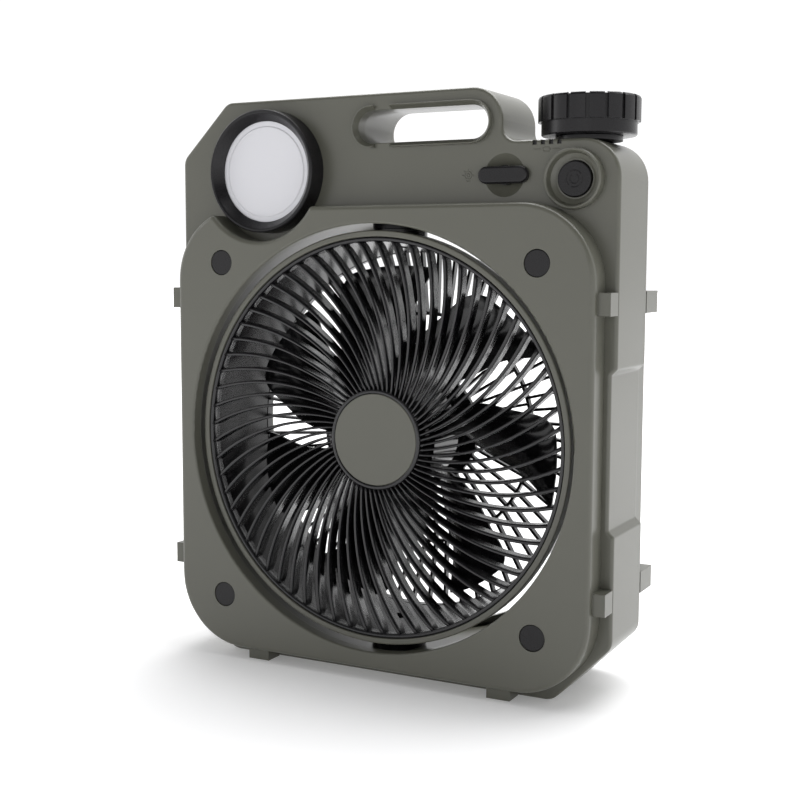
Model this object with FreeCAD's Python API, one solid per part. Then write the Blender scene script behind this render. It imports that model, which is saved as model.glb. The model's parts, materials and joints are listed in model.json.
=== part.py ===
import FreeCAD, Part
import math
import os
from FreeCAD import Vector

# Rechargeable camping box fan, in millimetres.
# Row frame: +Z up, the front faces -Y, the origin is on the base plane, midway
# across the width and midway through the depth. Heights given to P() are
# measured from the fan axis and depths from the front face of the front plate.

# ---- driving dimensions ----
AXIS_Z = 149.0            # fan axis above the base
DEPTH = 95.0              # front plate face to rear plate face
FRONT_Y = -DEPTH / 2

HALF_W = 149.4            # body half width
BODY_FRONT = 17.8         # depth of the body's front face
BODY_REAR = 70.5
SEAM = 65.5               # front shell meets rear shell
WALL = 2.5
EDGE_R = 2.0              # rounding of the body's front and rear edges
TOP_Z = 209.4
SHELF_Z = 177.6           # lower shelf under the dial
SHELF_END_X = 77.7        # vertical wall between handle and shelf
CROWN_R = 19.5
SHELF_R = 9.0
SHOULDER_R = 22.5
TOP_CHAMFER = 34.9
TOP_CHAMFER_R = 9.0
BASE_CHAMFER = 36.2
BASE_CHAMFER_R = 11.0
GRIP_TOP = 48.0           # side grip recess
GRIP_BOTTOM = -48.0
GRIP_DEPTH = 3.4

PLATE_HALF = 141.8
PLATE_R = 46.0
PLATE_SKIN = 3.0
PLATE_EDGE_R = 3.0
LIP_R = 130.9             # opening in front and rear plates
LIP_DEPTH = 8.0
LINER_R = 136.0
LINER_OUT = 138.5
TAB_Z = (78.3, 91.3)
TAB_X = (77.0, 92.0)
TAB_FRONT = 5.0
TAB_REAR = 92.0

PLUG_XZ = 107.5
PLUG_R = 8.0
BOSS_R = 5.5
SCREW_R = 1.75
SCREW_HEAD_R = 3.0
SCREW_HEAD_H = 2.2
HEAD_POCKET_R = 3.2       # counterbore for a screw head
PLUG_SEAT = 3.2           # depth of the seat that a plug sits in
POST_R = 4.0              # posts that join the two shells
MOUTH_ROUND = 1.3         # rounding of the plates' openings

SLOT_X = 25.6             # handle slot
SLOT_Z = 189.4
SLOT_HALF = 33.4          # half distance between the two end centres
SLOT_R = 9.8
SLOT_MOUTH_R = 12.0       # the slot narrows from this at the rim to SLOT_R
SLOT_THROAT = 26.0        # depth where the slot starts to widen to the rear
SLOT_REAR_R = 13.4
SLOT_WALL = 2.8
SLOT_RIM = 3.5            # rim stands this proud of the front face
RIM_GAP = (-5.6, 5.4)

LAMP_X = -80.6
LAMP_Z = 164.3
LAMP_FRONT = 4.2          # depth of the bezel's rim
LAMP_BASE_R = 38.3
LAMP_RIM_R = 38.0
LAMP_GLASS_R = 31.9
LAMP_GLASS = 11.0         # depth of the diffuser's face
LAMP_TUBE_R = 34.0
LAMP_BACK = 28.2
LAMP_CUT_R = 43.5         # arc cut out of the front plate around the lamp
LAMP_CUT_X = -79.5
LAMP_CUT_Z = 164.4
LED_RING_R = 14.0

KNOB_X = 79.7
KNOB_Z = 158.1
KNOB_FRONT = 13.6
KNOB_HALF = 15.5
KNOB_W = 9.9
DISH_R = 12.6             # bowl behind the knob
DISH_DEPTH = 5.2

BUTTON_X = 122.8
BUTTON_Z = 154.8
BUTTON_R = 10.1
BUTTON_FRONT = 16.2
BUTTON_TRAVEL = 1.5
BEZEL_R = 17.1
BEZEL_FRONT = 12.0

DIAL_X = 121.0
DIAL_DEPTH = 44.5
DIAL_R = 29.5
DIAL_SKIRT_R = 27.6
DIAL_BOTTOM = 180.6
DIAL_STEP = 188.4
DIAL_TOP = 203.0
DIAL_GROOVES = 17
DIAL_GROOVE_SHIFT = 0.57  # first groove, as a share of the groove spacing
DIAL_CROWN = 2.6          # width of the grooved crown that stands above the top
DIAL_CROWN_H = 0.9
SHAFT_R = 3.0

INDICATOR_X = (98.0, 103.0, 108.0, 113.0)
INDICATOR_W = 2.6
INDICATOR_H = 2.9

CELL_R = 9.2              # battery cells
CELL_Z = 152.7
CELL_DEPTHS = (31.0, 52.0)

# head
PIVOT_DEPTH = 40.0
PIVOT_R = 17.0
PIVOT_TOP = 128.0         # where the head's pads meet the body's bosses
PIN_R = 5.0
PIN_END = 142.3
PIN_START = 122.0
PIN_BORE_R = 2.5
BUSH_R = 7.5
RING_R = 127.0
RING_IN = 123.3
RING_FRONT = 6.6
GRILLE_R = 123.1
RIB_OUT = 120.4
GRILLE_FRONT = 7.0
GRILLE_BACK = 12.0        # back of the hub disc
RIB_BACK = 16.0           # ribs are deep and thin
RIB_TAIL_R = 119.4        # behind the rim the ribs stop short of the housing
RIM_BACK = 14.3
RIBS = 65
RIB_W_OUT = 2.2
RIB_W_IN = 1.5
RIB_SWEEP = 26.5          # degrees from the outer end to the hub
RIB_MID_SWEEP = 12.0      # degrees gone at the middle radius
HUB_R = 30.8
BADGE_R = 28.25
HOUSING_REAR = 62.0
HOUSING_REAR_R = 117.3
HOUSING_WALL = 2.5
REAR_RING_R = 75.0
REAR_HUB_R = 37.0
REAR_OUTER_RIBS = 60
REAR_INNER_RIBS = 40
REAR_RIB_W = 1.8
DOME_BACK = 80.5

# rotor
BLADES = 7
BLADE_TIP_R = 106.0
BLADE_ANGLE = 38.6        # first blade, degrees clockwise from the top
# each blade section: radius, trailing and leading edge in degrees, their depths,
# thickness and camber
BLADE_SECTIONS = (
    (30.0, -30.0, 4.5, 30.0, 54.0, 2.2, 1.0),
    (50.0, -24.0, 8.0, 30.0, 54.0, 2.0, 2.0),
    (75.0, -16.0, 14.5, 31.0, 54.0, 1.7, 3.2),
    (92.0, -11.5, 20.5, 33.0, 53.5, 1.6, 3.8),
    (101.0, -8.5, 22.0, 35.5, 53.0, 1.5, 3.6),
    (106.5, -3.0, 18.0, 38.5, 51.5, 1.4, 2.0),
)
CUP_R = 33.0
CUP_REAR = 57.0
CUP_FRONT = 18.0
SLEEVE_R = 7.0            # sleeve in the fan hub that grips the shaft
SLEEVE_REAR = 46.8
MOTOR_SHAFT_R = 2.5
SHAFT_ENDS = (15.0, 73.0)

# motor
BOLT_CIRCLE = 22.0
BOLT_COUNT = 4
STATOR_TEETH = 12
STATOR_DEPTHS = (51.5, 64.0)
BEARING_R = 6.2
BEARING_W = 5.0
BEARING_DEPTHS = (50.0, 68.0)
MAGNET_OUT = 22.2
MAGNET_IN = 19.6
MOTOR_CUP_R = 23.6
BASE_FACE = 74.0
BASE_BACK = 77.0

RUN = 0.05                # radial clearance of a running fit
GAP = 0.3                 # clearance between bodies

X_DIR = Vector(1, 0, 0)
Y_DIR = Vector(0, 1, 0)
Z_DIR = Vector(0, 0, 1)


# ---- helpers ----
def P(x, depth, z):
    """Point from x, depth behind the front face, and height above the fan axis."""
    return Vector(x, FRONT_Y + depth, AXIS_Z + z)


def disc(r, d0, d1, x=0.0, z=0.0):
    return Part.makeCylinder(r, d1 - d0, P(x, d0, z), Y_DIR)


def tube(r_out, r_in, d0, d1, x=0.0, z=0.0):
    return disc(r_out, d0, d1, x, z).cut(disc(r_in, d0 - 1, d1 + 1, x, z))


def post(r, z0, z1, x=0.0, depth=PIVOT_DEPTH):
    return Part.makeCylinder(r, z1 - z0, P(x, depth, z0), Z_DIR)


def block(x0, x1, d0, d1, z0, z1):
    return Part.makeBox(x1 - x0, d1 - d0, z1 - z0, P(x0, d0, z0))


def turned(profile, x=0.0, z=0.0):
    """Solid of revolution about the Y line through (x, z) from (radius, depth) points."""
    points = [P(x + r, d, z) for r, d in profile]
    face = Part.Face(Part.makePolygon(points + points[:1]))
    return face.revolve(P(x, 0, z), Y_DIR, 360)


def turned_z(profile, x, depth):
    """Solid of revolution about a vertical line from (radius, height) points."""
    points = [P(x + r, depth, h) for r, h in profile]
    face = Part.Face(Part.makePolygon(points + points[:1]))
    return face.revolve(P(x, depth, 0), Z_DIR, 360)


def fused(shapes):
    shapes = list(shapes)
    return shapes[0].multiFuse(shapes[1:]).removeSplitter()


def slab(wire, d0, d1):
    """Prism between two depths from a wire drawn at depth 0."""
    face = Part.Face(wire)
    face.translate(Vector(0, d0, 0))
    return face.extrude(Vector(0, d1 - d0, 0))


def rounded_polygon(corners):
    """Closed wire at depth 0 through (x, z, radius) corners, each rounded by an arc."""
    edges = []
    count = len(corners)
    ends = []
    for i, (x, z, r) in enumerate(corners):
        here = P(x, 0, z)
        before = P(*_xdz(corners[i - 1])) - here
        after = P(*_xdz(corners[(i + 1) % count])) - here
        before.normalize()
        after.normalize()
        if r <= 0:
            ends.append((here, here, None))
            continue
        half = before.getAngle(after) / 2
        run = r / math.tan(half)
        bisector = before + after
        bisector.normalize()
        middle = here + bisector * (r / math.sin(half) - r)
        ends.append((here + before * run, here + after * run, middle))
    for i, (start, end, middle) in enumerate(ends):
        if middle is not None:
            edges.append(Part.Arc(start, middle, end).toShape())
        following = ends[(i + 1) % count][0]
        if (following - end).Length > 1e-4:
            edges.append(Part.LineSegment(end, following).toShape())
    return Part.Wire(Part.__sortEdges__(edges))


def _xdz(corner):
    return corner[0], 0.0, corner[1]


def inset(wire, distance):
    return wire.makeOffset2D(-distance)


def stadium(half, r, x, z):
    left = P(x - half, 0, z)
    right = P(x + half, 0, z)
    up = Vector(0, 0, r)
    edges = [
        Part.LineSegment(left + up, right + up).toShape(),
        Part.Arc(right + up, right + Vector(r, 0, 0), right - up).toShape(),
        Part.LineSegment(right - up, left - up).toShape(),
        Part.Arc(left - up, left - Vector(r, 0, 0), left + up).toShape(),
    ]
    return Part.Wire(edges)


def edges_at_depth(shape, depth):
    """Edges that lie wholly in the plane at a depth."""
    y = FRONT_Y + depth
    found = []
    for edge in shape.Edges:
        box = edge.BoundBox
        if abs(box.YMin - y) > 1e-3 or abs(box.YMax - y) > 1e-3:
            continue
        found.append(edge)
    return found


def spin_y(shape, degrees, x=0.0, z=0.0):
    """Copy turned clockwise as seen from the front."""
    copy = shape.copy()
    copy.rotate(P(x, 0, z), Y_DIR, degrees)
    return copy


def screw(x, z, head_depth, tip_depth, head_r=SCREW_HEAD_R, head_len=SCREW_HEAD_H):
    """Pan-head screw along Y, its head at head_depth."""
    way = 1 if tip_depth > head_depth else -1
    neck = head_depth + way * head_len
    head = disc(head_r, min(head_depth, neck), max(head_depth, neck), x, z)
    shank = disc(SCREW_R, min(neck, tip_depth), max(neck, tip_depth), x, z)
    cross = fused([
        block(x - 1.6, x + 1.6, head_depth - 0.9, head_depth + 0.9, z - 0.35, z + 0.35),
        block(x - 0.35, x + 0.35, head_depth - 0.9, head_depth + 0.9, z - 1.6, z + 1.6),
    ])
    return fused([head, shank]).cut(cross)


CORNERS = [(sx * PLUG_XZ, sz * PLUG_XZ) for sx in (-1, 1) for sz in (-1, 1)]
SHELL_POSTS = [(-128.0, 168.0), (-38.0, 172.0), (63.0, 167.5), (139.5, 161.0)]


# ---- body ----
def body_outline():
    g = GRIP_DEPTH
    w = HALF_W
    base = -AXIS_Z
    right = [
        (w, GRIP_TOP, 2.0), (w - g, GRIP_TOP - g, 2.0),
        (w - g, GRIP_BOTTOM + g, 2.0), (w, GRIP_BOTTOM, 2.0),
        (w, base + BASE_CHAMFER, BASE_CHAMFER_R), (w - BASE_CHAMFER, base, BASE_CHAMFER_R),
    ]
    left = [(-x, z, r) for x, z, r in reversed(right)]
    top = [
        (-w, TOP_Z - TOP_CHAMFER, TOP_CHAMFER_R), (-w + TOP_CHAMFER, TOP_Z, TOP_CHAMFER_R),
        (SHELF_END_X, TOP_Z, CROWN_R), (SHELF_END_X, SHELF_Z, SHELF_R),
        (w, SHELF_Z, SHOULDER_R),
    ]
    return rounded_polygon(top + right + left)


def slot_solid(r, d0, d1):
    return slab(stadium(SLOT_HALF, r, SLOT_X, SLOT_Z), d0, d1)


def slot_taper(r0, d0, r1, d1):
    """Slot-shaped solid whose end radius goes from r0 to r1 between two depths."""
    wires = []
    for r, depth in ((r0, d0), (r1, d1)):
        wire = stadium(SLOT_HALF, r, SLOT_X, SLOT_Z)
        wire.translate(Vector(0, depth, 0))
        wires.append(wire)
    return Part.makeLoft(wires, True, True)


def slot_hole():
    rim = BODY_FRONT - SLOT_RIM
    end = BODY_REAR + 1
    return fused([
        slot_taper(SLOT_MOUTH_R, rim - 0.1, SLOT_R, BODY_FRONT + 0.5),
        slot_solid(SLOT_R, BODY_FRONT, SLOT_THROAT + 0.1),
        slot_taper(SLOT_R, SLOT_THROAT, SLOT_REAR_R, end),
    ])


def bowl():
    """Shallow spherical dish behind the light knob, as the solid to cut away."""
    ball_r = (DISH_R ** 2 + DISH_DEPTH ** 2) / (2 * DISH_DEPTH)
    centre = P(KNOB_X, BODY_FRONT + DISH_DEPTH - ball_r, KNOB_Z)
    return Part.makeSphere(ball_r, centre).common(disc(DISH_R, 0, SEAM, KNOB_X, KNOB_Z))


def front_shell():
    outline = body_outline()
    block_out = slab(outline, BODY_FRONT, SEAM)
    block_out = block_out.makeFillet(EDGE_R, edges_at_depth(block_out, BODY_FRONT))
    shell = block_out.cut(slab(inset(outline, WALL), BODY_FRONT + WALL, SEAM + 1))
    bosses = [disc(BOSS_R, BODY_FRONT + 1, SEAM, x, z) for x, z in CORNERS]
    bosses += [disc(POST_R, BODY_FRONT + 1, SEAM, x, z) for x, z in SHELL_POSTS]
    handle = slot_solid(SLOT_R + SLOT_WALL, BODY_FRONT - SLOT_RIM, SLOT_THROAT + 1)
    rim_edges = edges_at_depth(handle, BODY_FRONT - SLOT_RIM)
    handle = handle.makeFillet(0.4, rim_edges)
    sleeve = slot_taper(SLOT_R + SLOT_WALL, SLOT_THROAT, SLOT_REAR_R + SLOT_WALL, BODY_REAR + 1)
    sleeve = sleeve.common(slab(outline, BODY_FRONT, SEAM))
    dish = disc(DISH_R + WALL, BODY_FRONT + 1, BODY_FRONT + DISH_DEPTH + WALL, KNOB_X, KNOB_Z)
    shell = fused([shell, handle, sleeve, dish] + bosses)
    rim_break = block(RIM_GAP[0], RIM_GAP[1], 0, BODY_FRONT, SLOT_Z - 20, SLOT_Z + 20)
    cuts = [
        slot_hole(),
        rim_break,
        disc(LINER_OUT, 0, SEAM + 1),
        disc(LAMP_TUBE_R, 0, BODY_FRONT + WALL + 1, LAMP_X, LAMP_Z),
        bowl(),
        disc(SHAFT_R + 1, 0, SEAM, KNOB_X, KNOB_Z),
        disc(BUTTON_R + 2.5, 0, BODY_FRONT + WALL + 1, BUTTON_X, BUTTON_Z),
        post(SHAFT_R + 2, SHELF_Z - 2 * WALL, SHELF_Z + 1, DIAL_X, DIAL_DEPTH),
    ]
    cuts += [disc(SCREW_R, BODY_FRONT - 1, SEAM + 1, x, z) for x, z in CORNERS]
    cuts += [disc(SCREW_R, SEAM - 14, SEAM + 1, x, z) for x, z in SHELL_POSTS]
    cuts += [indicator(x, 0, SHELF_Z + 1) for x in INDICATOR_X]
    return shell.cut(Part.makeCompound(cuts))


def rear_shell():
    outline = body_outline()
    tray = slab(outline, SEAM, BODY_REAR)
    tray = tray.makeFillet(EDGE_R, edges_at_depth(tray, BODY_REAR))
    tray = tray.cut(slab(inset(outline, WALL), SEAM - 1, BODY_REAR - WALL))
    handle = slot_taper(SLOT_R + SLOT_WALL, SLOT_THROAT, SLOT_REAR_R + SLOT_WALL, BODY_REAR + 1)
    handle = handle.common(slab(outline, SEAM, BODY_REAR))
    posts = [disc(POST_R, SEAM, BODY_REAR - 1, x, z) for x, z in SHELL_POSTS]
    posts += [disc(BOSS_R, SEAM, BODY_REAR - 1, x, z) for x, z in CORNERS]
    tray = fused([tray, handle] + posts)
    cuts = [
        slot_hole(),
        disc(LINER_OUT, SEAM - 1, BODY_REAR + 1),
        slab(stadium(3.2, 2.4, BUTTON_X, KNOB_Z), SEAM - 1, BODY_REAR + 1),
    ]
    cuts += [disc(SCREW_HEAD_R, BODY_REAR - SCREW_HEAD_H, BODY_REAR + 1, x, z) for x, z in SHELL_POSTS]
    cuts += [disc(SCREW_R, SEAM - 1, BODY_REAR + 1, x, z) for x, z in SHELL_POSTS + CORNERS]
    return tray.cut(Part.makeCompound(cuts))


def plate_outline():
    h = PLATE_HALF
    return rounded_polygon([(-h, h, PLATE_R), (h, h, PLATE_R), (h, -h, PLATE_R), (-h, -h, PLATE_R)])


def side_tabs(d0, d1):
    tabs = []
    inner = PLATE_HALF - WALL + 0.5
    for s in (-1, 1):
        x0, x1 = sorted((s * inner, s * HALF_W))
        for t in (-1, 1):
            z0, z1 = sorted((t * TAB_Z[0], t * TAB_Z[1]))
            tabs.append(block(x0, x1, d0, d1, z0, z1))
        x0, x1 = sorted((s * TAB_X[0], s * TAB_X[1]))
        tabs.append(block(x0, x1, d0, d1, -AXIS_Z, -inner))
    return tabs


def lamp_clearance(r, d0, d1):
    return disc(r, d0, d1, LAMP_CUT_X, LAMP_CUT_Z)


def front_plate():
    outline = plate_outline()
    solid = slab(outline, 0, BODY_FRONT).cut(lamp_clearance(LAMP_CUT_R, -1, BODY_FRONT + 1))
    tips = [e for e in solid.Edges if e.BoundBox.YLength > BODY_FRONT - 1
            and abs(math.hypot(e.CenterOfMass.x - LAMP_CUT_X,
                               e.CenterOfMass.z - AXIS_Z - LAMP_CUT_Z) - LAMP_CUT_R) < 0.01]
    solid = solid.makeFillet(3.0, tips)
    solid = solid.makeFillet(PLATE_EDGE_R, edges_at_depth(solid, 0))
    hollow = slab(inset(outline, WALL), PLATE_SKIN, BODY_FRONT + 1)
    hollow = hollow.cut(lamp_clearance(LAMP_CUT_R + WALL, -1, BODY_FRONT + 2))
    solid = solid.cut(hollow)
    lip = disc(LIP_R + 2.4, PLATE_SKIN - 1, LIP_DEPTH)
    bosses = [disc(PLUG_R + 2, PLATE_SKIN - 1, BODY_FRONT, x, z) for x, z in CORNERS]
    solid = fused([solid, lip] + bosses + side_tabs(TAB_FRONT, BODY_FRONT))
    solid = solid.cut(disc(LIP_R, -1, BODY_FRONT + 1))
    mouth = [e for e in edges_at_depth(solid, 0) if abs(e.Length - 2 * math.pi * LIP_R) < 1]
    solid = solid.makeFillet(MOUTH_ROUND, mouth)
    cuts = [disc(PLUG_R, -1, PLUG_SEAT, x, z) for x, z in CORNERS]
    cuts += [disc(SCREW_R, 0, BODY_FRONT + 1, x, z) for x, z in CORNERS]
    cuts += [disc(HEAD_POCKET_R, 0, 8.2, x, z) for x, z in CORNERS]
    cuts += [tube(LINER_OUT, LINER_R, PLATE_SKIN, BODY_FRONT + 1)]
    return solid.cut(Part.makeCompound(cuts))


def rear_plate():
    outline = plate_outline()
    solid = slab(outline, BODY_REAR, DEPTH)
    solid = solid.makeFillet(PLATE_EDGE_R, edges_at_depth(solid, DEPTH))
    solid = solid.cut(slab(inset(outline, WALL), BODY_REAR - 1, DEPTH - PLATE_SKIN))
    lip = disc(LIP_R + 2.4, DEPTH - LIP_DEPTH, DEPTH - PLATE_SKIN + 1)
    bosses = [disc(PLUG_R, BODY_REAR, DEPTH - PLATE_SKIN + 1, x, z) for x, z in CORNERS]
    solid = fused([solid, lip] + bosses + side_tabs(BODY_REAR, TAB_REAR))
    solid = solid.cut(disc(LIP_R, BODY_REAR - 1, DEPTH + 1))
    mouth = [e for e in edges_at_depth(solid, DEPTH) if abs(e.Length - 2 * math.pi * LIP_R) < 1]
    solid = solid.makeFillet(MOUTH_ROUND, mouth)
    cuts = [disc(HEAD_POCKET_R, DEPTH - 5.2, DEPTH + 1, x, z) for x, z in CORNERS]
    cuts += [disc(SCREW_R, BODY_REAR - 1, DEPTH, x, z) for x, z in CORNERS]
    cuts += [tube(LINER_OUT, LINER_R, BODY_REAR - 1, DEPTH - PLATE_SKIN)]
    return solid.cut(Part.makeCompound(cuts))


def opening_liner():
    liner = tube(LINER_OUT, LINER_R, PLATE_SKIN, DEPTH - PLATE_SKIN)
    return liner.cut(post(BUSH_R, -LINER_OUT - 3, LINER_OUT + 3))


def screw_plugs():
    plugs = []
    for x, z in CORNERS:
        plug = disc(PLUG_R - 0.15, 0.3, PLUG_SEAT, x, z)
        plug = plug.makeFillet(0.6, edges_at_depth(plug, 0.3))
        plugs.append(plug)
    return plugs


def front_plate_screws():
    return [screw(x, z, 6.0, 30.0) for x, z in CORNERS]


def rear_plate_screws():
    return [screw(x, z, DEPTH - 3.0, 52.0) for x, z in CORNERS]


def shell_screws():
    return [screw(x, z, BODY_REAR - 0.1, 52.0, 2.9, 2.1) for x, z in SHELL_POSTS]


# ---- lamp ----
def lamp_bezel():
    profile = [
        (LAMP_BASE_R, BODY_FRONT), (LAMP_RIM_R, LAMP_FRONT + 0.8),
        (LAMP_RIM_R - 0.8, LAMP_FRONT), (LAMP_RIM_R - 1.9, LAMP_FRONT + 0.1),
        (LAMP_RIM_R - 2.5, LAMP_FRONT + 0.7), (LAMP_GLASS_R - 0.6, LAMP_GLASS - 0.5),
        (LAMP_GLASS_R - 0.6, LAMP_GLASS), (LAMP_GLASS_R, LAMP_GLASS), (LAMP_GLASS_R, LAMP_BACK),
        (LAMP_TUBE_R, LAMP_BACK), (LAMP_TUBE_R, BODY_FRONT),
    ]
    return turned(profile, LAMP_X, LAMP_Z)


def lamp_diffuser():
    edge = LAMP_GLASS_R - RUN
    profile = [
        (0, LAMP_GLASS), (27.6, LAMP_GLASS), (28.4, LAMP_GLASS + 0.5), (edge, LAMP_GLASS + 0.5),
        (edge, LAMP_GLASS + 2.5), (0, LAMP_GLASS + 2.5),
    ]
    return turned(profile, LAMP_X, LAMP_Z)


def lamp_reflector():
    edge = LAMP_GLASS_R - RUN
    top = LAMP_GLASS + 2.5
    board = LAMP_BACK - 1.5
    profile = [
        (30.5, top), (edge, top), (edge, top + 1.5),
        (22.0, board - 1.5), (22.0, board), (20.4, board), (20.4, board - 2.0),
    ]
    return turned(profile, LAMP_X, LAMP_Z)


def lamp_led_board():
    front = LAMP_BACK - 1.5
    board = disc(22.0, front, LAMP_BACK, LAMP_X, LAMP_Z)
    leds = []
    for i in range(12):
        angle = math.radians(30 * i)
        x = LAMP_X + LED_RING_R * math.cos(angle)
        z = LAMP_Z + LED_RING_R * math.sin(angle)
        leds.append(block(x - 1.5, x + 1.5, front - 0.9, front + 0.1, z - 1.5, z + 1.5))
    return fused([board] + leds)


# ---- controls ----
def light_knob():
    bar = slab(stadium(KNOB_HALF - KNOB_W / 2, KNOB_W / 2, KNOB_X, KNOB_Z),
               KNOB_FRONT, BODY_FRONT - 0.4)
    bar = bar.makeFillet(1.4, edges_at_depth(bar, KNOB_FRONT))
    hub = disc(KNOB_W / 2 + 0.8, BODY_FRONT - 0.5, BODY_FRONT + DISH_DEPTH - 1.4, KNOB_X, KNOB_Z)
    return fused([bar, hub]).cut(disc(SHAFT_R, KNOB_FRONT + 1.6, 30.0, KNOB_X, KNOB_Z))


def dimmer_shaft():
    return disc(SHAFT_R, KNOB_FRONT + 1.6, 31.5, KNOB_X, KNOB_Z)


def light_dimmer():
    case = block(KNOB_X - 8.5, KNOB_X + 8.5, 26.0, 33.0, KNOB_Z - 8.5, KNOB_Z + 8.5)
    return case.cut(disc(SHAFT_R + RUN, 20.0, 32.0, KNOB_X, KNOB_Z))


def power_bezel():
    profile = [
        (BEZEL_R + 0.3, BODY_FRONT), (BEZEL_R, BEZEL_FRONT + 0.6), (BEZEL_R - 0.5, BEZEL_FRONT),
        (BEZEL_R - 1.2, BEZEL_FRONT), (BEZEL_R - 1.8, BEZEL_FRONT + 0.6), (14.2, 16.4),
        (BUTTON_R + 1.2, 18.2), (BUTTON_R + GAP, 18.2), (BUTTON_R + GAP, 22.0),
        (BUTTON_R + 2.5, 22.0), (BUTTON_R + 2.5, BODY_FRONT),
    ]
    return turned(profile, BUTTON_X, BUTTON_Z)


def power_button():
    cap = disc(BUTTON_R, BUTTON_FRONT, 22.6, BUTTON_X, BUTTON_Z)
    cap = cap.makeFillet(0.8, edges_at_depth(cap, BUTTON_FRONT))
    flange = disc(BUTTON_R + 1.6, 22.3, 23.6, BUTTON_X, BUTTON_Z)
    stem = disc(2.5, 23.0, 27.0, BUTTON_X, BUTTON_Z)
    return fused([cap, flange, stem])


def power_switch():
    case = block(BUTTON_X - 3, BUTTON_X + 3, 29.6, 33.0, BUTTON_Z - 3, BUTTON_Z + 3)
    plunger = disc(1.7, 27.0 + BUTTON_TRAVEL + 0.1, 30.0, BUTTON_X, BUTTON_Z)
    return fused([case, plunger])


def control_board():
    board = block(70.0, 134.0, 33.0, 34.6, 145.0, 170.0)
    chips = [
        block(98.0, 106.0, 31.4, 33.1, 148.0, 156.0),
        block(108.5, 113.5, 31.8, 33.1, 160.0, 165.0),
        block(92.0, 96.0, 30.0, 33.1, 160.0, 166.0),
    ]
    return fused([board] + chips)


def indicator(x, d0, top):
    """Window block in the shelf's front edge, from depth d0 back and up to a height."""
    return block(x - INDICATOR_W / 2, x + INDICATOR_W / 2, d0, BODY_FRONT + 4.2,
                 SHELF_Z - INDICATOR_H, top)


def indicator_lens():
    return [indicator(x, BODY_FRONT + 1.3, SHELF_Z - 0.8) for x in INDICATOR_X]


def dial_collar():
    profile = [
        (SHAFT_R + 2, SHELF_Z - WALL), (SHAFT_R + 2, SHELF_Z), (19.5, SHELF_Z),
        (19.5, DIAL_BOTTOM - GAP), (SHAFT_R + RUN, DIAL_BOTTOM - GAP), (SHAFT_R + RUN, SHELF_Z - WALL),
    ]
    return turned_z(profile, DIAL_X, DIAL_DEPTH)


def speed_dial():
    crown = DIAL_R - DIAL_CROWN
    profile = [
        (0, DIAL_BOTTOM), (DIAL_SKIRT_R - 0.6, DIAL_BOTTOM), (DIAL_SKIRT_R, DIAL_BOTTOM + 0.6),
        (DIAL_SKIRT_R, DIAL_STEP), (DIAL_R, DIAL_STEP), (DIAL_R, DIAL_TOP - 1.6),
        (DIAL_R - 0.5, DIAL_TOP - 0.5), (DIAL_R - 1.6, DIAL_TOP), (crown, DIAL_TOP),
        (crown, DIAL_TOP - DIAL_CROWN_H), (0, DIAL_TOP - DIAL_CROWN_H),
    ]
    dial = turned_z(profile, DIAL_X, DIAL_DEPTH)
    grooves = []
    centre = P(DIAL_X, DIAL_DEPTH, 0)
    for i in range(DIAL_GROOVES):
        turn = 360.0 / DIAL_GROOVES * (i + DIAL_GROOVE_SHIFT)
        side = block(DIAL_X + DIAL_R - 1.5, DIAL_X + DIAL_R + 1, DIAL_DEPTH - 1.1, DIAL_DEPTH + 1.1,
                     DIAL_STEP - 0.1, DIAL_TOP + 1)
        notch = block(DIAL_X + crown - 1, DIAL_X + DIAL_R, DIAL_DEPTH - 1.1, DIAL_DEPTH + 1.1,
                      DIAL_TOP - DIAL_CROWN_H, DIAL_TOP + 1)
        for groove in (side, notch):
            groove.rotate(centre, Z_DIR, turn)
            grooves.append(groove)
    dial = dial.cut(Part.makeCompound(grooves))
    return dial.cut(post(SHAFT_R, DIAL_BOTTOM - 1, 196.0, DIAL_X, DIAL_DEPTH))


def encoder_shaft():
    return post(SHAFT_R, 167.0, 196.0, DIAL_X, DIAL_DEPTH)


def dial_encoder():
    case = block(DIAL_X - 8, DIAL_X + 8, DIAL_DEPTH - 8, DIAL_DEPTH + 8, 165.0, 174.0)
    return case.cut(post(SHAFT_R + RUN, 166.5, SHELF_Z + 1, DIAL_X, DIAL_DEPTH))


# ---- power ----
def battery_cells():
    cells = []
    for depth in CELL_DEPTHS:
        can = Part.makeCylinder(CELL_R, 65.0, P(-33.5, depth, CELL_Z), X_DIR)
        button = Part.makeCylinder(3.0, 1.0, P(31.5, depth, CELL_Z), X_DIR)
        cells.append(can.fuse(button).removeSplitter())
    return cells


def battery_cradle():
    d0 = CELL_DEPTHS[0] - CELL_R
    d1 = CELL_DEPTHS[1] + CELL_R
    return fused([
        block(-36.0, 35.0, d0, d1, CELL_Z + CELL_R, CELL_Z + CELL_R + 2),
        block(-36.0, -33.5, d0, d1, CELL_Z - CELL_R, CELL_Z + CELL_R + 1),
        block(32.5, 35.0, d0, d1, CELL_Z - CELL_R, CELL_Z + CELL_R + 1),
    ])


def charging_socket():
    shell = slab(stadium(3.2, 2.4, BUTTON_X, KNOB_Z), BODY_REAR - 9, BODY_REAR - 0.2)
    mouth = slab(stadium(2.9, 1.6, BUTTON_X, KNOB_Z), BODY_REAR - 7, BODY_REAR + 1)
    tongue = block(BUTTON_X - 3.3, BUTTON_X + 3.3, BODY_REAR - 8, BODY_REAR - 1.5,
                   KNOB_Z - 0.35, KNOB_Z + 0.35)
    return fused([shell.cut(mouth), tongue])


# ---- swivel ----
def pivot_bosses():
    bore = disc(LINER_R, 0, DEPTH)
    bosses = []
    for side in (-1, 1):
        z0, z1 = sorted((side * (PIVOT_TOP + GAP), side * (LINER_R + 1)))
        boss = post(PIVOT_R, z0, z1).common(bore)
        bosses.append(boss.cut(post(BUSH_R, z0 - 1, z1 + 1)))
    return bosses


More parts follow.
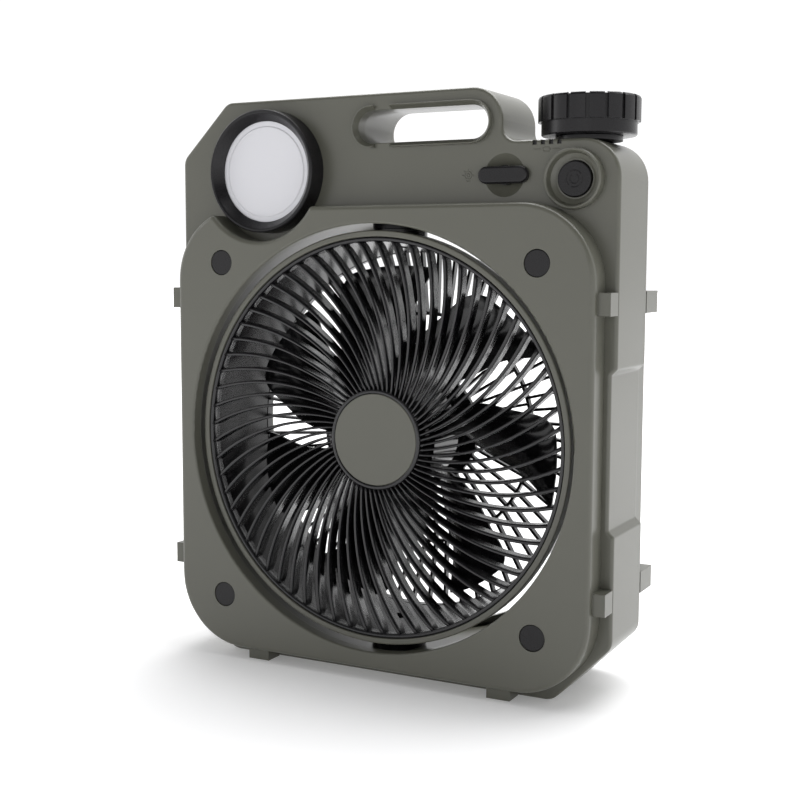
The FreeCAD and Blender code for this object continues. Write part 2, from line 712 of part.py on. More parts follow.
def pivot_bushes():
    bushes = []
    for side in (-1, 1):
        z0, z1 = sorted((side * (PIVOT_TOP + GAP), side * 141.0))
        bushes.append(post(BUSH_R, z0, z1).cut(post(PIN_R + RUN, z0 - 1, z1 + 1)))
    return bushes


def pivot_pins():
    pins = []
    for side in (-1, 1):
        z0, z1 = sorted((side * PIN_START, side * PIN_END))
        pins.append(post(PIN_R, z0, z1).cut(post(PIN_BORE_R, z0 - 1, z1 + 1)))
    return pins


# ---- head ----
def head_ring():
    ring = tube(RING_R, RING_IN, RING_FRONT, 15.0)
    return ring.makeFillet(0.8, edges_at_depth(ring, RING_FRONT))


def polar(r, degrees, depth=0.0):
    """Point at a radius and an angle clockwise from the top."""
    angle = math.radians(degrees)
    return P(r * math.sin(angle), depth, r * math.cos(angle))


def rib_side(offset_in, offset_out):
    """Arc along one side of a front rib; the offsets move it sideways by mm."""
    stations = [
        (RIB_OUT + 1.0, 0.0, offset_out),
        ((RIB_OUT + HUB_R) / 2, RIB_MID_SWEEP, (offset_in + offset_out) / 2),
        (HUB_R - 1.0, RIB_SWEEP, offset_in),
    ]
    return [polar(r, a + math.degrees(o / r)) for r, a, o in stations]


def front_rib():
    cos_out = math.cos(math.radians(29))
    cos_in = math.cos(math.radians(14))
    a = rib_side(-RIB_W_IN / 2 / cos_in, -RIB_W_OUT / 2 / cos_out)
    b = rib_side(RIB_W_IN / 2 / cos_in, RIB_W_OUT / 2 / cos_out)
    wire = Part.Wire([
        Part.Arc(a[0], a[1], a[2]).toShape(),
        Part.LineSegment(a[2], b[2]).toShape(),
        Part.Arc(b[2], b[1], b[0]).toShape(),
        Part.LineSegment(b[0], a[0]).toShape(),
    ])
    tail_gap = tube(RIB_OUT + 4, RIB_TAIL_R, RIM_BACK - 0.3, RIB_BACK + 1)
    return slab(wire, GRILLE_FRONT + 0.3, RIB_BACK).cut(tail_gap)


def front_grille():
    rib = front_rib()
    ribs = [spin_y(rib, 360.0 / RIBS * i) for i in range(RIBS)]
    rim = turned([
        (RIB_OUT, GRILLE_FRONT + 0.9), (RIB_OUT + 1.4, GRILLE_FRONT), (GRILLE_R, GRILLE_FRONT),
        (GRILLE_R, RIM_BACK), (RIB_OUT, RIM_BACK),
    ])
    hub = disc(HUB_R, GRILLE_FRONT, GRILLE_BACK).cut(disc(BADGE_R + 0.2, 0, 9.8))
    return fused([rim, hub] + ribs)


def hub_badge():
    badge = disc(BADGE_R, 7.3, 9.8)
    return badge.makeFillet(0.5, edges_at_depth(badge, 7.3))


def housing_cone(inset_by, d0, d1):
    """Solid cone that follows the housing's taper, inset from its outer face."""
    slope = (HOUSING_REAR_R - GRILLE_R) / (HOUSING_REAR - RIM_BACK)
    r0 = GRILLE_R - inset_by + slope * (d0 - RIM_BACK)
    r1 = GRILLE_R - inset_by + slope * (d1 - RIM_BACK)
    return turned([(0, d0), (r0, d0), (r1, d1), (0, d1)])


def head_housing():
    solid = housing_cone(0, RIM_BACK, HOUSING_REAR)
    flange = disc(RING_R - 0.7, 15.0, 17.0)
    pads = [post(PIVOT_R, *sorted((side * 110.0, side * PIVOT_TOP))) for side in (-1, 1)]
    solid = fused([solid, flange] + pads)
    solid = solid.cut(housing_cone(HOUSING_WALL, RIM_BACK - 1, HOUSING_REAR + 1))
    return solid.cut(post(PIN_R, -PIN_END, PIN_END))


def rear_rib(r0, r1, lean):
    start = polar(r0, 0)
    end = polar(r1, lean)
    along = end - start
    side = Vector(along.z, 0, -along.x)
    side.normalize()
    side = side * (REAR_RIB_W / 2)
    wire = Part.makePolygon([start + side, end + side, end - side, start - side, start + side])
    return slab(wire, 60.0, DOME_BACK + 2)


def rear_grille():
    outer = [(r, d) for r, d in (
        (HOUSING_REAR_R, HOUSING_REAR), (HOUSING_REAR_R, 66.5), (REAR_RING_R + 1, DOME_BACK - 1),
        (REAR_HUB_R, DOME_BACK), (0, DOME_BACK))]
    inner = [
        (0, BASE_BACK), (REAR_HUB_R, BASE_BACK), (REAR_RING_R, 75.8), (113.6, 63.6), (114.8, HOUSING_REAR),
    ]
    dome = turned(outer + inner)
    pattern = [spin_y(rear_rib(REAR_RING_R - 0.5, 115.5, 1.5), 360.0 / REAR_OUTER_RIBS * i)
               for i in range(REAR_OUTER_RIBS)]
    pattern += [spin_y(rear_rib(REAR_HUB_R - 1, REAR_RING_R + 0.5, 3.0), 360.0 / REAR_INNER_RIBS * i)
                for i in range(REAR_INNER_RIBS)]
    pattern += [
        disc(REAR_HUB_R, 60, DOME_BACK + 2),
        tube(REAR_RING_R + 1, REAR_RING_R - 1, 60, DOME_BACK + 2),
        tube(HOUSING_REAR_R + 1, 114.4, 60, DOME_BACK + 2),
    ]
    pieces = [dome.common(shape) for shape in pattern]
    grille = fused(pieces)
    bolts = [disc(SCREW_R, 70, DOME_BACK + 1, *spot) for spot in motor_bolts()]
    return grille.cut(Part.makeCompound(bolts))


# ---- motor ----
def motor_bolts():
    spots = []
    for i in range(BOLT_COUNT):
        angle = math.radians(45 + 360 / BOLT_COUNT * i)
        spots.append((BOLT_CIRCLE * math.cos(angle), BOLT_CIRCLE * math.sin(angle)))
    return spots


def motor_base():
    base = fused([disc(28.0, BASE_FACE, BASE_BACK), disc(8.0, 49.6, BASE_FACE + 0.5)])
    cuts = [disc(BEARING_R, 40, SHAFT_ENDS[1] + 0.2)]
    cuts += [disc(SCREW_R, 70, 80, *spot) for spot in motor_bolts()]
    return base.cut(Part.makeCompound(cuts))


def motor_screws():
    return [screw(x, z, 71.8, 79.5) for x, z in motor_bolts()]


def motor_stator():
    d0, d1 = STATOR_DEPTHS
    core = tube(11.0, 8.0, d0, d1)
    teeth = []
    for i in range(STATOR_TEETH):
        tooth = fused([
            block(10.0, 18.0, d0, d1, -1.3, 1.3),
            tube(19.0, 17.6, d0, d1).common(block(15.0, 20.0, d0, d1, -4.0, 4.0)),
            block(11.8, 17.0, d0 + 0.5, d1 - 0.5, -2.4, 2.4),
        ])
        teeth.append(spin_y(tooth, 360.0 / STATOR_TEETH * i))
    return fused([core] + teeth)


def motor_bearings():
    return [tube(BEARING_R, MOTOR_SHAFT_R + RUN, d, d + BEARING_W) for d in BEARING_DEPTHS]


def motor_shaft():
    return disc(MOTOR_SHAFT_R, *SHAFT_ENDS)


def rotor_cup():
    cup = disc(MOTOR_CUP_R, 47.0, 66.0).cut(disc(MAGNET_OUT, 49.0, 67.0))
    return cup.cut(disc(MOTOR_SHAFT_R, 40, 60))


def rotor_magnet():
    return tube(MAGNET_OUT, MAGNET_IN, 50.0, 65.0)


def blade_section(r, trail, lead, d_trail, d_lead, thickness, camber):
    """Closed wire on a flat face square to the blade's span, at a radius."""
    start = r * math.tan(math.radians(trail))
    end = r * math.tan(math.radians(lead))
    line = []
    for share, bulge in ((0.0, 0.0), (0.33, 0.9), (0.67, 0.9), (1.0, 0.0)):
        across = start + (end - start) * share
        depth = d_trail + (d_lead - d_trail) * share - camber * bulge
        line.append((across, depth))
    upper = [P(a, d - thickness / 2, r) for a, d in line]
    lower = [P(a, d + thickness / 2, r) for a, d in reversed(line)]
    curve_a = Part.BSplineCurve()
    curve_a.interpolate(upper)
    curve_b = Part.BSplineCurve()
    curve_b.interpolate(lower)
    return Part.Wire([
        curve_a.toShape(),
        Part.LineSegment(upper[-1], lower[0]).toShape(),
        curve_b.toShape(),
        Part.LineSegment(lower[-1], upper[0]).toShape(),
    ])


def blade():
    solid = Part.makeLoft([blade_section(*values) for values in BLADE_SECTIONS], True, False)
    return solid.common(disc(BLADE_TIP_R, 10, 60))


def fan_blades():
    cup = turned([
        (0, CUP_FRONT), (27.0, CUP_FRONT), (31.4, 19.6), (CUP_R, 23.5), (CUP_R, CUP_REAR),
        (CUP_R - 2, CUP_REAR), (CUP_R - 2, 24.0), (29.0, 21.2), (26.5, 20.6), (SLEEVE_R, 20.6),
        (SLEEVE_R, SLEEVE_REAR), (0, SLEEVE_REAR),
    ])
    bore = disc(MOTOR_SHAFT_R, 10, 60)
    hollow = disc(CUP_R - 2, 24.0, 60.0).cut(disc(SLEEVE_R, 20, SLEEVE_REAR))
    one = blade().cut(hollow)
    blades = [spin_y(one, BLADE_ANGLE + 360.0 / BLADES * i) for i in range(BLADES)]
    return fused([cup] + blades).cut(bore)


def blade_nut():
    nut = turned([(0, 13.4), (6.0, 13.4), (9.5, 14.6), (11.0, 16.4), (11.0, CUP_FRONT), (0, CUP_FRONT)])
    grips = [spin_y(block(-1.0, 1.0, 13.0, 17.0, 9.6, 12.0), 45.0 * i) for i in range(8)]
    return nut.cut(Part.makeCompound(grips)).cut(disc(MOTOR_SHAFT_R, 15.0, 20.0))


# ---- write one file per node ----
NODES = {
    "front_plate": front_plate, "rear_plate": rear_plate, "front_shell": front_shell,
    "rear_shell": rear_shell, "opening_liner": opening_liner, "screw_plugs": screw_plugs,
    "front_plate_screws": front_plate_screws, "rear_plate_screws": rear_plate_screws,
    "shell_screws": shell_screws, "lamp_bezel": lamp_bezel, "lamp_diffuser": lamp_diffuser,
    "lamp_reflector": lamp_reflector, "lamp_led_board": lamp_led_board,
    "light_knob": light_knob, "dimmer_shaft": dimmer_shaft, "light_dimmer": light_dimmer,
    "power_bezel": power_bezel, "power_button": power_button, "power_switch": power_switch,
    "control_board": control_board, "indicator_lens": indicator_lens,
    "dial_collar": dial_collar, "speed_dial": speed_dial, "encoder_shaft": encoder_shaft,
    "dial_encoder": dial_encoder, "battery_cells": battery_cells,
    "battery_cradle": battery_cradle, "charging_socket": charging_socket,
    "pivot_bosses": pivot_bosses, "pivot_bushes": pivot_bushes, "pivot_pins": pivot_pins,
    "head_ring": head_ring, "front_grille": front_grille, "hub_badge": hub_badge,
    "head_housing": head_housing, "rear_grille": rear_grille, "motor_base": motor_base,
    "motor_screws": motor_screws, "motor_stator": motor_stator,
    "motor_bearings": motor_bearings, "motor_shaft": motor_shaft, "rotor_cup": rotor_cup,
    "rotor_magnet": rotor_magnet, "fan_blades": fan_blades, "blade_nut": blade_nut,
}


def main():
    os.makedirs("parts", exist_ok=True)
    for name, make in NODES.items():
        shape = make()
        if isinstance(shape, list):
            shape = Part.makeCompound(shape)
        solids = len(shape.Solids)
        print(f"{name:20s} solids {solids:3d} valid {shape.isValid()} volume {shape.Volume / 1000:9.2f} cm3")
        shape.exportStep(f"parts/{name}.step")


main()
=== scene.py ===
import json
import math

import bpy
from mathutils import Matrix, Vector


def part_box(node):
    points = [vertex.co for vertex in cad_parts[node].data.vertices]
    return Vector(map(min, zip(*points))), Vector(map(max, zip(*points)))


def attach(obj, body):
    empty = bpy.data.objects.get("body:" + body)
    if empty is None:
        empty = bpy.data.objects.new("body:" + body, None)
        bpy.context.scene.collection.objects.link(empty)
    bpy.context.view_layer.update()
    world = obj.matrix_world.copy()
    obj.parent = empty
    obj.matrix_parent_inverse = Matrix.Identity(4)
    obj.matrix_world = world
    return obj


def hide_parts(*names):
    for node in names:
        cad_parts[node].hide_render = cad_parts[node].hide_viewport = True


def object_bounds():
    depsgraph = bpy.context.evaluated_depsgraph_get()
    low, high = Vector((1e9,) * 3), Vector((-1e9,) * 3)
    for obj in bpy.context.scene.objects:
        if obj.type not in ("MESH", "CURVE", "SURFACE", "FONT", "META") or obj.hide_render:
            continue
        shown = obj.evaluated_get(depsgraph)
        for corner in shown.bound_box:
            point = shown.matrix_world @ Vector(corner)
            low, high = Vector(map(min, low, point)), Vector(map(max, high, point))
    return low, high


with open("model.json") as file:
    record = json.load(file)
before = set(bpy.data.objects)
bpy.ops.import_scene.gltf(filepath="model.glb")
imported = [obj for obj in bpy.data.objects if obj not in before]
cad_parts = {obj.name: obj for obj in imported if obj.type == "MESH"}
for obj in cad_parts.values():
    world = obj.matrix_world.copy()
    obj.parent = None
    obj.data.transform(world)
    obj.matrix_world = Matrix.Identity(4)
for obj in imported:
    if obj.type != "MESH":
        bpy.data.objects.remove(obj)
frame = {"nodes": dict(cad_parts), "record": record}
cad_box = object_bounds()

MM = 0.001


# ---- where things are, read from the frame ----
def low(node):
    return Vector(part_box(node)[0])


def high(node):
    return Vector(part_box(node)[1])


def centre(node):
    return (low(node) + high(node)) / 2


FAN = centre("front_grille")
FRONT_Y = low("front_plate").y
COLLAR_TOP = high("dial_collar").z


def at(x, depth, z):
    """Point from mm across, mm behind the front face and mm above the fan axis."""
    return Vector((x * MM, FRONT_Y + depth * MM, FAN.z + z * MM))


# ---- camera ----
AZIMUTH = math.radians(27.83)
ELEVATION = math.radians(5.84)
ROLL = math.radians(0.18)
TARGET = Vector((-0.0038, 0.0, 0.1697))
DISTANCE = 0.8364
LENS_MM = 59.06
SENSOR_MM = 36.0


def camera():
    back = Vector((
        math.sin(AZIMUTH) * math.cos(ELEVATION),
        -math.cos(AZIMUTH) * math.cos(ELEVATION),
        math.sin(ELEVATION),
    ))
    data = bpy.data.cameras.new("camera")
    data.lens = LENS_MM
    data.sensor_width = SENSOR_MM
    data.clip_start = 0.01
    eye = bpy.data.objects.new("camera", data)
    bpy.context.collection.objects.link(eye)
    eye.matrix_world = (
        Matrix.Translation(TARGET + back * DISTANCE)
        @ back.to_track_quat("Z", "Y").to_matrix().to_4x4()
        @ Matrix.Rotation(ROLL, 4, "Z")
    )
    bpy.context.scene.camera = eye


camera()


# ---- light ----
# name, place, what it aims at, size, power in watts
LIGHTS = (
    ("key_above", (0.10, 0.35, 1.15), (0, 0, 0.2), (1.4, 0.9), 17.0),
    ("left_strip", (-1.20, -0.55, 0.75), (0, 0, 0.2), (0.35, 1.1), 2.2),
    ("front_soft", (0.3, -1.9, 0.9), (0, 0, 0.15), (1.0, 0.7), 0.9),
)
BACK_RAMP = (-0.30, 0.25)       # from front to back, where the studio turns bright
HORIZON_RAMP = (0.26, 0.42)     # upwards, where the bright horizon ends
STUDIO_DIM = (0.13, 0.13, 0.132, 1)
STUDIO_BRIGHT = (1.1, 1.1, 1.105, 1)


def area_light(name, place, aim, size, power):
    data = bpy.data.lights.new(name, "AREA")
    data.shape = "RECTANGLE"
    data.size, data.size_y = size
    data.energy = power
    lamp = bpy.data.objects.new(name, data)
    bpy.context.collection.objects.link(lamp)
    turn = (Vector(place) - Vector(aim)).to_track_quat("Z", "Y")
    lamp.matrix_world = Matrix.Translation(place) @ turn.to_matrix().to_4x4()


def studio_world():
    """White studio: bright all round the horizon and behind the object, dim high up in front of it."""
    world = bpy.data.worlds.new("studio")
    world.use_nodes = True
    nodes, links = world.node_tree.nodes, world.node_tree.links
    place = nodes.new("ShaderNodeTexCoord")
    split = nodes.new("ShaderNodeSeparateXYZ")
    links.new(place.outputs["Generated"], split.inputs["Vector"])
    span = nodes.new("ShaderNodeMapRange")
    span.interpolation_type = "SMOOTHSTEP"
    span.inputs["From Min"].default_value = BACK_RAMP[0]
    span.inputs["From Max"].default_value = BACK_RAMP[1]
    links.new(split.outputs["Y"], span.inputs["Value"])
    horizon = nodes.new("ShaderNodeMapRange")
    horizon.interpolation_type = "SMOOTHSTEP"
    horizon.inputs["From Min"].default_value = HORIZON_RAMP[0]
    horizon.inputs["From Max"].default_value = HORIZON_RAMP[1]
    horizon.inputs["To Min"].default_value = 1.0
    horizon.inputs["To Max"].default_value = 0.0
    links.new(split.outputs["Z"], horizon.inputs["Value"])
    bright = nodes.new("ShaderNodeMath")
    bright.operation = "MAXIMUM"
    links.new(span.outputs["Result"], bright.inputs[0])
    links.new(horizon.outputs["Result"], bright.inputs[1])
    mix = nodes.new("ShaderNodeMix")
    mix.data_type = "RGBA"
    mix.inputs["A"].default_value = STUDIO_DIM
    mix.inputs["B"].default_value = STUDIO_BRIGHT
    links.new(bright.outputs["Value"], mix.inputs["Factor"])
    links.new(mix.outputs["Result"], nodes["Background"].inputs["Color"])
    bpy.context.scene.world = world


studio_world()
for light in LIGHTS:
    area_light(*light)
bpy.context.scene.view_settings.view_transform = "Standard"


# ---- materials ----
def new_material(name):
    material = bpy.data.materials.new(name)
    material.use_nodes = True
    tree = material.node_tree
    return material, tree.nodes, tree.links, tree.nodes["Principled BSDF"]


GLOSS_SPREAD = 0.04             # how far the roughness wanders either way


def plastic(name, dark, light, roughness, grain_mm=0.35, grain_depth=0.02, mottle=6.0, specular=0.5,
            edge_mm=0.45):
    """Moulded plastic: fine spark grain in the bump, slow mottling in colour and gloss, soft edges."""
    material, nodes, links, shader = new_material(name)
    place = nodes.new("ShaderNodeTexCoord")
    slow = nodes.new("ShaderNodeTexNoise")
    slow.inputs["Scale"].default_value = mottle
    slow.inputs["Detail"].default_value = 3.0
    links.new(place.outputs["Object"], slow.inputs["Vector"])
    tint = nodes.new("ShaderNodeMix")
    tint.data_type = "RGBA"
    tint.inputs["A"].default_value = (*dark, 1.0)
    tint.inputs["B"].default_value = (*light, 1.0)
    links.new(slow.outputs["Fac"], tint.inputs["Factor"])
    links.new(tint.outputs["Result"], shader.inputs["Base Color"])
    grain = nodes.new("ShaderNodeTexNoise")
    grain.inputs["Scale"].default_value = 1.0 / (grain_mm * MM)
    grain.inputs["Detail"].default_value = 2.0
    links.new(place.outputs["Object"], grain.inputs["Vector"])
    gloss = nodes.new("ShaderNodeMapRange")
    gloss.inputs["To Min"].default_value = roughness - GLOSS_SPREAD
    gloss.inputs["To Max"].default_value = roughness + GLOSS_SPREAD
    links.new(grain.outputs["Fac"], gloss.inputs["Value"])
    links.new(gloss.outputs["Result"], shader.inputs["Roughness"])
    bump = nodes.new("ShaderNodeBump")
    bump.inputs["Strength"].default_value = 0.5
    bump.inputs["Distance"].default_value = grain_depth * MM
    links.new(grain.outputs["Fac"], bump.inputs["Height"])
    if edge_mm:
        soft = nodes.new("ShaderNodeBevel")
        soft.samples = 6
        soft.inputs["Radius"].default_value = edge_mm * MM
        links.new(soft.outputs["Normal"], bump.inputs["Normal"])
    links.new(bump.outputs["Normal"], shader.inputs["Normal"])
    shader.inputs["Specular IOR Level"].default_value = specular
    return material


OLIVE = plastic("olive_plastic", (0.088, 0.088, 0.070), (0.098, 0.098, 0.079), 0.30, grain_depth=0.03)
BLACK = plastic("black_trim", (0.0060, 0.0055, 0.0065), (0.0080, 0.0074, 0.0086), 0.28, specular=0.3)
GRILLE = plastic("black_grille", (0.0065, 0.0062, 0.0073), (0.0085, 0.0082, 0.0094), 0.24, edge_mm=0)
GLOSS = plastic("blade_plastic", (0.004, 0.004, 0.0045), (0.006, 0.006, 0.0065), 0.14, 0.6, 0.004, edge_mm=0)
FROST = plastic("diffuser", (0.62, 0.62, 0.65), (0.66, 0.66, 0.69), 0.5, edge_mm=0)
WHITE = plastic("reflector", (0.8, 0.8, 0.8), (0.84, 0.84, 0.84), 0.3, edge_mm=0)
STEEL = plastic("steel", (0.42, 0.42, 0.43), (0.5, 0.5, 0.51), 0.3, edge_mm=0)
BOARD = plastic("circuit_board", (0.02, 0.10, 0.04), (0.03, 0.14, 0.05), 0.35, edge_mm=0)
WRAP = plastic("cell_wrap", (0.04, 0.12, 0.30), (0.05, 0.15, 0.36), 0.3, edge_mm=0)
BRASS = plastic("brass_bush", (0.55, 0.40, 0.16), (0.62, 0.46, 0.2), 0.3, edge_mm=0)
SLOT_MATERIAL = {
    "olive_plastic": OLIVE, "black_trim": BLACK, "black_grille": GRILLE, "blade_plastic": GLOSS,
    "diffuser": FROST, "reflector": WHITE, "steel": STEEL, "circuit_board": BOARD,
    "cell_wrap": WRAP, "brass_bush": BRASS,
}


def dress_frame():
    """Gives every node of the frame the material of its slot."""
    for part in frame["record"]["subparts"]:
        node = frame["nodes"][part["node"]]
        node.data.materials.clear()
        node.data.materials.append(SLOT_MATERIAL[part["material_slot"]])


for metal in (STEEL, BRASS):
    metal.node_tree.nodes["Principled BSDF"].inputs["Metallic"].default_value = 1.0
dress_frame()


# ---- pieces ----
def piece_from(name, vertices, faces, material, body, stands_for):
    """Smooth mesh piece that takes the place of a node."""
    mesh = bpy.data.meshes.new(name)
    mesh.from_pydata(vertices, [], faces)
    mesh.validate()
    mesh.materials.append(material)
    for face in mesh.polygons:
        face.use_smooth = True
    piece = bpy.data.objects.new(name, mesh)
    bpy.context.collection.objects.link(piece)
    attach(piece, body)
    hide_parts(stands_for)


def swept(vertices, faces, rings, closed_path=False):
    """Adds the skin over equal rings of points; caps the ends of an open path."""
    start = len(vertices)
    count = len(rings[0])
    for points in rings:
        vertices.extend(points)
    turns = len(rings)
    for i in range(turns if closed_path else turns - 1):
        a = start + i * count
        b = start + (i + 1) % turns * count
        for j in range(count):
            k = (j + 1) % count
            faces.append((a + j, a + k, b + k, b + j))
    if not closed_path:
        faces.append(tuple(start + j for j in reversed(range(count))))
        faces.append(tuple(start + (turns - 1) * count + j for j in range(count)))


def polar(r, degrees, depth):
    """Point at a radius and an angle clockwise from the top, in mm."""
    angle = math.radians(degrees)
    return at(r * math.sin(angle), depth, r * math.cos(angle))


def turned_rings(profile, steps):
    """The (radius, depth) profile repeated round the fan axis."""
    return [[polar(r, 360.0 * i / steps, d) for r, d in profile] for i in range(steps)]


RIBS = 65
RIB_ENDS = ((121.0, 0.0), (75.6, 12.0), (30.2, 26.5))     # radius and angle of a rib's centre line
RIB_WIDTHS = (2.25, 1.5)        # outer and inner end
RIB_FRONT = 7.3
RIB_SHOULDER = 8.3              # depth where the rounded face meets the sides
RIB_BACK = 16.0
RIB_TAPER = 0.8                 # width at the back, as a share
RIB_TAIL_R = 119.4              # behind the rim the ribs stop at this radius
RIB_STEPS = 26
RIM_BACK = 14.0
RIM_PROFILE = (
    (120.4, 14.3), (120.4, 8.4), (120.7, 7.6), (121.3, 7.12), (122.0, 7.0), (122.7, 7.15),
    (123.05, 7.6), (123.1, 8.2), (123.1, 14.3),
)
HUB_BACK = 12.0
HUB_PROFILE = (
    (28.45, HUB_BACK), (28.45, 7.5), (28.7, 7.15), (29.4, 7.0), (30.2, 7.12), (30.65, 7.5),
    (30.8, 8.2), (30.8, HUB_BACK),
)
RIM_STEPS = 256
HUB_STEPS = 128


def arc_through(points, steps):
    """Evenly spaced 2D points on the circle through three points."""
    (ax, az), (bx, bz), (cx, cz) = points
    d = 2 * (ax * (bz - cz) + bx * (cz - az) + cx * (az - bz))
    sa, sb, sc = ax * ax + az * az, bx * bx + bz * bz, cx * cx + cz * cz
    ux = (sa * (bz - cz) + sb * (cz - az) + sc * (az - bz)) / d
    uz = (sa * (cx - bx) + sb * (ax - cx) + sc * (bx - ax)) / d
    r = math.hypot(ax - ux, az - uz)
    first = math.atan2(az - uz, ax - ux)
    last = math.atan2(cz - uz, cx - ux)
    turn = (last - first + math.pi) % (2 * math.pi) - math.pi
    return [(ux + r * math.cos(first + turn * i / steps), uz + r * math.sin(first + turn * i / steps))
            for i in range(steps + 1)]


def rib_sections():
    """Cross-sections along one rib, as (x, depth, z) in mm from the fan axis."""
    spots = [(r * math.sin(math.radians(a)), r * math.cos(math.radians(a))) for r, a in RIB_ENDS]
    path = arc_through(spots, RIB_STEPS)
    sections = []
    for i, (x, z) in enumerate(path):
        share = i / RIB_STEPS
        half = (RIB_WIDTHS[0] + (RIB_WIDTHS[1] - RIB_WIDTHS[0]) * share) / 2
        before = path[max(i - 1, 0)]
        after = path[min(i + 1, RIB_STEPS)]
        length = math.hypot(after[0] - before[0], after[1] - before[1])
        nx, nz = (after[1] - before[1]) / length, -(after[0] - before[0]) / length
        end = RIM_BACK if math.hypot(x, z) > RIB_TAIL_R else RIB_BACK
        side = [(half, RIB_SHOULDER), (half - 0.12, RIB_FRONT + 0.45), (half - 0.42, RIB_FRONT + 0.12)]
        outline = [(-half * RIB_TAPER, end)] + [(-u, d) for u, d in side] + [(0.0, RIB_FRONT)]
        outline += side[::-1] + [(half * RIB_TAPER, end)]
        sections.append([(x + nx * u, d, z + nz * u) for u, d in outline])
    return sections


def front_grille():
    """Grille moulding with rounded rib faces, rim and hub."""
    vertices, faces = [], []
    rib = rib_sections()
    for i in range(RIBS):
        turn = math.radians(360.0 / RIBS * i)
        c, s = math.cos(turn), math.sin(turn)
        turned = [[at(x * c + z * s, d, z * c - x * s) for x, d, z in section] for section in rib]
        swept(vertices, faces, turned)
    swept(vertices, faces, turned_rings(RIM_PROFILE, RIM_STEPS), closed_path=True)
    swept(vertices, faces, turned_rings(HUB_PROFILE, HUB_STEPS), closed_path=True)
    piece_from("front_grille_moulding", vertices, faces, GRILLE, "head", "front_grille")


front_grille()


# ---- marks ----
def mark(name, strokes, thick, body, material):
    """Fine raised lines; each stroke is a list of points, closed when it ends where it starts."""
    curve = bpy.data.curves.new(name, "CURVE")
    curve.dimensions = "3D"
    curve.bevel_depth = thick / 2 * MM
    curve.bevel_resolution = 2
    for stroke in strokes:
        closed = (stroke[0] - stroke[-1]).length < 1e-6
        points = stroke[:-1] if closed else stroke
        spline = curve.splines.new("POLY")
        spline.points.add(len(points) - 1)
        for point, place in zip(spline.points, points):
            point.co = (*place, 1.0)
        spline.use_cyclic_u = closed
    curve.materials.append(material)
    piece = bpy.data.objects.new(name, curve)
    bpy.context.collection.objects.link(piece)
    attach(piece, body)


def ring(x, z, r, depth, start=0.0, end=360.0, steps=40):
    """Arc from start to end, degrees clockwise from the top."""
    count = max(6, int(steps * (end - start) / 360.0))
    points = []
    for i in range(count + 1):
        angle = math.radians(start + (end - start) * i / count)
        points.append(at(x + r * math.sin(angle), depth, z + r * math.cos(angle)))
    if end - start >= 360.0:
        points[-1] = points[0].copy()
    return points


def line(x0, z0, x1, z1, depth):
    return [at(x0, depth, z0), at(x1, depth, z1)]


FACE = 17.8                     # depth of the body's front face
COLLAR_H = 2.7                  # height of the dial's collar
SHELF = (COLLAR_TOP - FAN.z) / MM - COLLAR_H      # the shelf it stands on, above the fan axis
BODY_STROKE = 0.62              # line widths of the marks
BUTTON_STROKE = 0.55
SUN = (56.5, 158.6)
SUN_RINGS = (2.2, 0.9)
SUN_RAYS = (2.9, 3.7)           # inner and outer ends of the rays
SUN_DASH = (1.2, 3.4)           # half length, and drop below the centre
GAUGE_DROP = 5.6                # the gauge marks below the shelf
GAUGE_DASHES = ((97.4, 101.6), (109.0, 113.2))
GAUGE_CELL = (103.2, 106.8, -1.3, 1.0)
GAUGE_TIP = (107.3, -0.7, 0.4)
BUTTON_INSET = 0.02              # the mark's centre line behind the button's face
BUTTON_RINGS = ((4.7, -30, 55), (4.7, 80, 200), (4.7, 225, 310), (2.6, 30, 330))


def sun_mark():
    x, z = SUN
    strokes = [ring(x, z, SUN_RINGS[0], FACE), ring(x, z, SUN_RINGS[1], FACE, steps=24)]
    inner, outer = SUN_RAYS
    for angle in (-90, -45, 0, 45, 90):
        across, up = math.sin(math.radians(angle)), math.cos(math.radians(angle))
        strokes.append(line(x + inner * across, z + inner * up, x + outer * across, z + outer * up, FACE))
    half, drop = SUN_DASH
    strokes.append(line(x - half, z - drop, x + half, z - drop, FACE))
    mark("lamp_symbol", strokes, BODY_STROKE, "frame", OLIVE)


def gauge_mark():
    z = SHELF - GAUGE_DROP
    strokes = [line(x0, z, x1, z, FACE) for x0, x1 in GAUGE_DASHES]
    x0, x1, low_z, high_z = GAUGE_CELL
    corners = ((x0, low_z), (x1, low_z), (x1, high_z), (x0, high_z), (x0, low_z))
    strokes.append([at(x, FACE, z + rise) for x, rise in corners])
    tip_x, tip_low, tip_high = GAUGE_TIP
    strokes.append(line(tip_x, z + tip_low, tip_x, z + tip_high, FACE))
    mark("charge_symbol", strokes, BODY_STROKE, "frame", OLIVE)


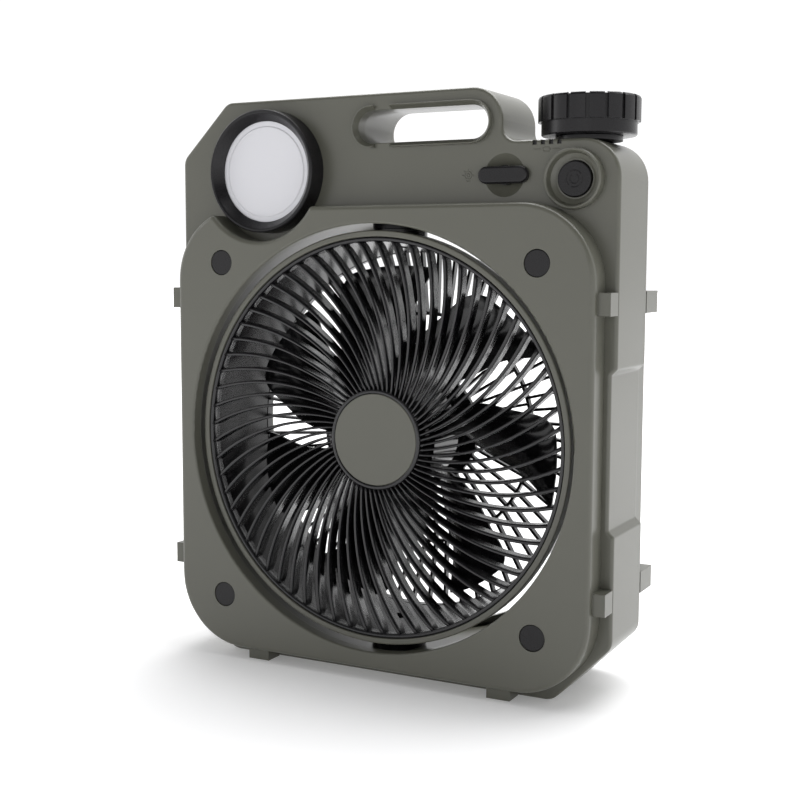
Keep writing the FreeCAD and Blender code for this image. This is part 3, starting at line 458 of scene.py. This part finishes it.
def button_mark():
    cap = centre("power_button")
    x, z = cap.x / MM, (cap.z - FAN.z) / MM
    depth = (low("power_button").y - FRONT_Y) / MM + BUTTON_INSET
    strokes = [ring(x, z, r, depth, start, end) for r, start, end in BUTTON_RINGS]
    mark("power_symbol", strokes, BUTTON_STROKE, "power_button", BLACK)


sun_mark()
gauge_mark()
button_mark()


# ---- floor ----
FLOOR_HALF = 12.0
GLOW_RADII = (0.30, 1.6)        # metres from the floor's middle, over which its painted glow brightens
GLOW = (0.16, 0.9)              # painted glow strength inside and outside them


def floor():
    """Pale floor with a painted glow: weak near the object, which keeps the soft shadow there, and strong
    further out, which fades it to plain white.
    """
    material, nodes, links, shader = new_material("studio_floor")
    noise = nodes.new("ShaderNodeTexNoise")
    noise.inputs["Scale"].default_value = 3.0
    tint = nodes.new("ShaderNodeMix")
    tint.data_type = "RGBA"
    tint.inputs["A"].default_value = (0.93, 0.93, 0.935, 1)
    tint.inputs["B"].default_value = (0.95, 0.95, 0.955, 1)
    links.new(noise.outputs["Fac"], tint.inputs["Factor"])
    links.new(tint.outputs["Result"], shader.inputs["Base Color"])
    shader.inputs["Roughness"].default_value = 0.8
    shader.inputs["Emission Color"].default_value = (1.0, 1.0, 1.0, 1.0)
    place = nodes.new("ShaderNodeTexCoord")
    reach = nodes.new("ShaderNodeVectorMath")
    reach.operation = "LENGTH"
    links.new(place.outputs["Object"], reach.inputs[0])
    fade = nodes.new("ShaderNodeMapRange")
    fade.interpolation_type = "SMOOTHSTEP"
    fade.inputs["From Min"].default_value = GLOW_RADII[0]
    fade.inputs["From Max"].default_value = GLOW_RADII[1]
    fade.inputs["To Min"].default_value = GLOW[0]
    fade.inputs["To Max"].default_value = GLOW[1]
    links.new(reach.outputs["Value"], fade.inputs["Value"])
    # painted glow: emission grows with distance from the floor's middle
    links.new(fade.outputs["Result"], shader.inputs["Emission Strength"])
    mesh = bpy.data.meshes.new("floor")
    corners = [(x * FLOOR_HALF, y * FLOOR_HALF, 0) for x, y in ((-1, -1), (1, -1), (1, 1), (-1, 1))]
    mesh.from_pydata(corners, [], [(0, 1, 2, 3)])
    mesh.materials.append(material)
    plane = bpy.data.objects.new("floor", mesh)
    plane.location.z = cad_box[0][2]
    bpy.context.collection.objects.link(plane)


floor()
